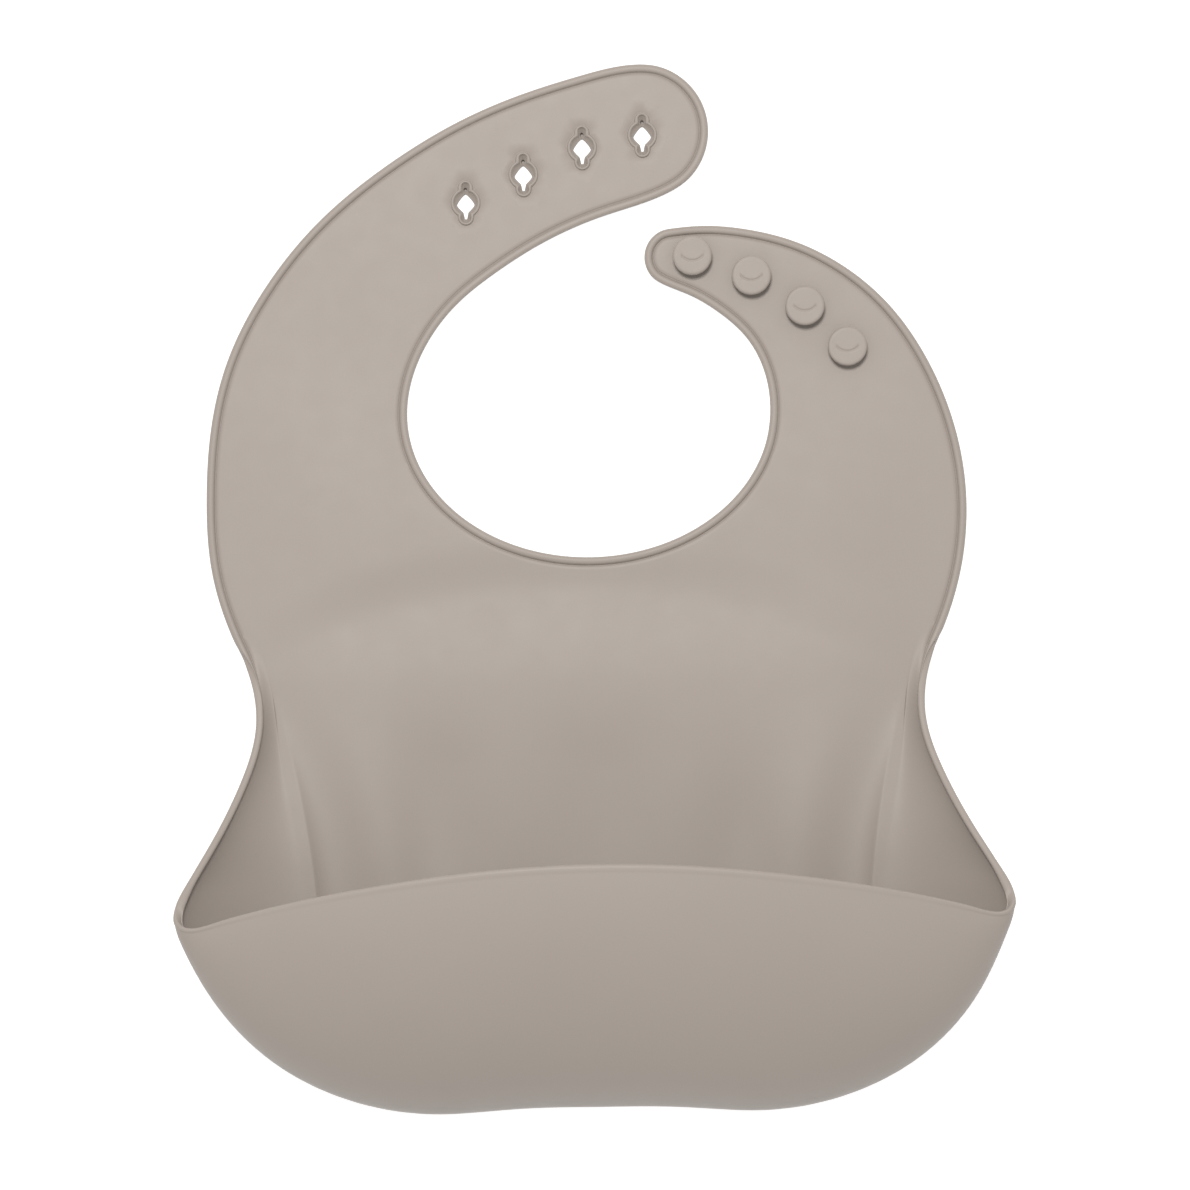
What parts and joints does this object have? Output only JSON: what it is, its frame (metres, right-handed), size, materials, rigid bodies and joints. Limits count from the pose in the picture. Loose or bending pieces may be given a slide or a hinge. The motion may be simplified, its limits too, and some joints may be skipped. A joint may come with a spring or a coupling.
{
  "type": "silicone bib",
  "caption": "Soft silicone baby bib with a wide open catch pocket, beaded edges and two neck straps that close with mushroom studs in keyholes.",
  "frame": {"origin": "centre of the bib's bounding box, on the surface that its back lies on", "axes": "+Z out of the bib's front face, +Y from the pocket towards the neck straps, +X to the right of someone who looks at the front"},
  "size_m": [0.228, 0.2896, 0.049],
  "materials": {
    "silicone_sheet": "satin-matte moulded silicone",
    "silicone_pocket": "satin-matte moulded silicone",
    "silicone_beads": "satin moulded silicone bead",
    "silicone_studs": "satin moulded silicone"
  },
  "bodies": {
    "belly": {"belly_panel": "silicone_sheet", "side_wall_left": "silicone_sheet", "side_wall_right": "silicone_sheet", "side_rim_left": "silicone_beads", "side_rim_right": "silicone_beads", "pocket_side_left": "silicone_pocket", "pocket_side_right": "silicone_pocket", "pocket_floor": "silicone_pocket", "pocket_fold": "silicone_pocket", "pocket_corner_left": "silicone_pocket", "pocket_corner_right": "silicone_pocket", "pocket_lip_left": "silicone_beads", "pocket_lip_right": "silicone_beads", "chest_fold": "silicone_sheet"},
    "pocket_front": {"pocket_front_wall": "silicone_pocket", "pocket_lip": "silicone_beads"},
    "chest": {"chest_panel": "silicone_sheet", "chest_rim_left": "silicone_beads", "chest_rim_right": "silicone_beads", "neck_rim": "silicone_beads", "long_shoulder_fold": "silicone_sheet", "short_shoulder_fold": "silicone_sheet"},
    "long_strap": {"long_strap": "silicone_sheet", "long_strap_outer_rim": "silicone_beads", "long_strap_inner_rim": "silicone_beads", "long_tip_fold": "silicone_sheet"},
    "long_strap_tip": {"long_strap_tip": "silicone_sheet", "long_strap_tip_rim": "silicone_beads", "keyhole_collar_1": "silicone_beads", "keyhole_collar_2": "silicone_beads", "keyhole_collar_3": "silicone_beads", "keyhole_collar_4": "silicone_beads"},
    "short_strap": {"short_strap": "silicone_sheet", "short_strap_rim": "silicone_beads", "stud_1": "silicone_studs", "stud_2": "silicone_studs", "stud_3": "silicone_studs", "stud_4": "silicone_studs"}
  },
  "joints": [
    {"name": "chest_fold", "type": "hinge", "parent": "belly", "child": "chest", "pos_m": [0, -0.008, 0.00075], "axis": [1, 0, 0], "range_deg": [0, 90], "stiffness_Nm_per_rad": 0.006, "deforming": ["chest_fold"]},
    {"name": "pocket_flex", "type": "hinge", "parent": "belly", "child": "pocket_front", "pos_m": [0, -0.143, 0.013], "axis": [1, 0, 0], "range_deg": [-28, 20], "stiffness_Nm_per_rad": 0.6, "deforming": ["pocket_fold", "pocket_corner_left", "pocket_corner_right", "pocket_lip_left", "pocket_lip_right", "pocket_side_left", "pocket_side_right", "side_wall_left", "side_wall_right", "side_rim_left", "side_rim_right"]},
    {"name": "long_shoulder", "type": "hinge", "parent": "chest", "child": "long_strap", "pos_m": [0.0012, 0.0483, 0.00075], "axis": [0.9945, 0.1045, 0], "range_deg": [0, 30], "stiffness_Nm_per_rad": 0.002, "deforming": ["long_shoulder_fold"]},
    {"name": "long_tip", "type": "hinge", "parent": "long_strap", "child": "long_strap_tip", "pos_m": [-0.042, 0.101, 0.00075], "axis": [0.5446, -0.8387, 0], "range_deg": [0, 50], "stiffness_Nm_per_rad": 0.002, "deforming": ["long_tip_fold"]},
    {"name": "short_shoulder", "type": "hinge", "parent": "chest", "child": "short_strap", "pos_m": [0.0012, 0.0483, 0.00075], "axis": [0.9945, -0.1045, 0], "range_deg": [0, 30], "stiffness_Nm_per_rad": 0.002, "deforming": ["short_shoulder_fold"]}
  ]
}
